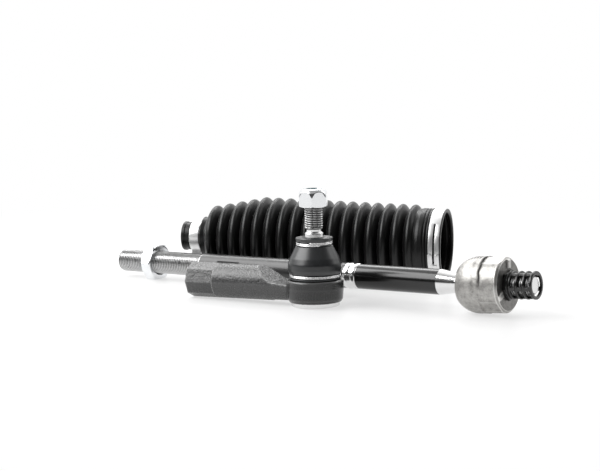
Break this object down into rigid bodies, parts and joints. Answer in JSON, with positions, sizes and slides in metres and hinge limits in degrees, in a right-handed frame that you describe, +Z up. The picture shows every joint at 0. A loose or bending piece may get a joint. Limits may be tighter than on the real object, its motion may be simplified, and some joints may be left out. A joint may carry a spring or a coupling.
{
  "type": "steering tie rod kit",
  "caption": "Steering tie rod set: outer ball joint end with boot and nut, axial rod with inner ball joint and thread cage, and ribbed rack bellows with clamps.",
  "frame": {"origin": "on the floor, under the middle of the whole set's bounding box", "axes": "+X along the axial rod towards its ball joint, +Z up, +Y away from the tie rod end towards the bellows"},
  "size_m": [0.3382, 0.17, 0.0782],
  "materials": {
    "end_forging": "semi-gloss",
    "plate_steel": "satin",
    "seat_plastic": "satin",
    "stud_steel": "satin",
    "boot_rubber": "satin",
    "ring_steel": "polished",
    "nut_zinc": "bright zinc",
    "insert_nylon": "matt",
    "rod_steel": "satin",
    "housing_steel": "bare forged steel",
    "cage_plastic": "gloss",
    "bellows_rubber": "satin",
    "clamp_steel": "bright"
  },
  "bodies": {
    "rod": {"axial_rod": "rod_steel"},
    "lock_nut": {"rod_lock_nut": "nut_zinc"},
    "inner_seat": {"axial_ball_seat": "seat_plastic"},
    "inner_housing": {"axial_housing": "housing_steel"},
    "protector": {"thread_protector": "cage_plastic"},
    "end_housing": {"tie_rod_end_housing": "end_forging", "cover_plate": "plate_steel", "boot_base_ring": "ring_steel"},
    "end_seat": {"ball_seat": "seat_plastic", "dust_boot": "boot_rubber"},
    "boot_neck": {"boot_top_ring": "ring_steel"},
    "stud": {"ball_stud": "stud_steel"},
    "nut_ring": {"stud_nut_insert": "insert_nylon"},
    "nut": {"stud_nut": "nut_zinc"},
    "bellows": {"bellows": "bellows_rubber", "bellows_large_clamp": "clamp_steel"},
    "small_clamp": {"bellows_small_clamp": "clamp_steel"}
  },
  "joints": [
    {"name": "lock_nut_travel", "type": "slide", "parent": "rod", "child": "lock_nut", "axis": [0.9997, 0, 0.0242], "range_m": [-0.0257, 0.0385]},
    {"name": "inner_swing_direction", "type": "hinge", "parent": "rod", "child": "inner_seat", "pos_m": [0.12912, -0.02384, 0.0186], "axis": [0.9997, 0, 0.0242], "continuous": true},
    {"name": "inner_swing", "type": "hinge", "parent": "inner_seat", "child": "inner_housing", "pos_m": [0.12912, -0.02384, 0.0186], "axis": [-0.0242, 0, 0.9997], "range_deg": [-27, 23]},
    {"name": "protector_off", "type": "slide", "parent": "inner_housing", "child": "protector", "axis": [0.9968, 0.0349, 0.0713], "range_m": [0, 0.022]},
    {"name": "end_lift", "type": "slide", "parent": "rod", "child": "end_housing", "axis": [0, 0, 1], "range_m": [0, 0.12]},
    {"name": "stud_swing_direction", "type": "hinge", "parent": "end_housing", "child": "end_seat", "pos_m": [0.02451, -0.06119, 0.01541], "axis": [-0.0267, -0.0035, 0.9996], "continuous": true},
    {"name": "stud_swing", "type": "hinge", "parent": "end_seat", "child": "boot_neck", "pos_m": [0.02451, -0.06119, 0.01541], "axis": [-0.1288, 0.9917, 0], "range_deg": [-25, 25], "deforming": ["dust_boot"]},
    {"name": "stud_spin", "type": "hinge", "parent": "boot_neck", "child": "stud", "pos_m": [0.02451, -0.06119, 0.01541], "axis": [-0.0267, -0.0035, 0.9996], "continuous": true},
    {"name": "nut_travel", "type": "slide", "parent": "stud", "child": "nut_ring", "axis": [-0.0267, -0.0035, 0.9996], "range_m": [-0.0135, 0.0075]},
    {"name": "nut_turn", "type": "hinge", "parent": "nut_ring", "child": "nut", "pos_m": [0.02316, -0.06137, 0.06599], "axis": [-0.0267, -0.0035, 0.9996], "range_deg": [-3240, 1800]},
    {"name": "bellows_lift", "type": "slide", "parent": "rod", "child": "bellows", "axis": [0, 0, 1], "range_m": [0, 0.12]},
    {"name": "bellows_squeeze", "type": "slide", "parent": "bellows", "child": "small_clamp", "axis": [0.9449, 0.3272, 0], "range_m": [-0.03, 0.08], "deforming": ["bellows"]}
  ],
  "couplings": [
    {"joint": "nut_travel", "follows": "nut_turn", "m_per_rad": 0.00023873}
  ]
}
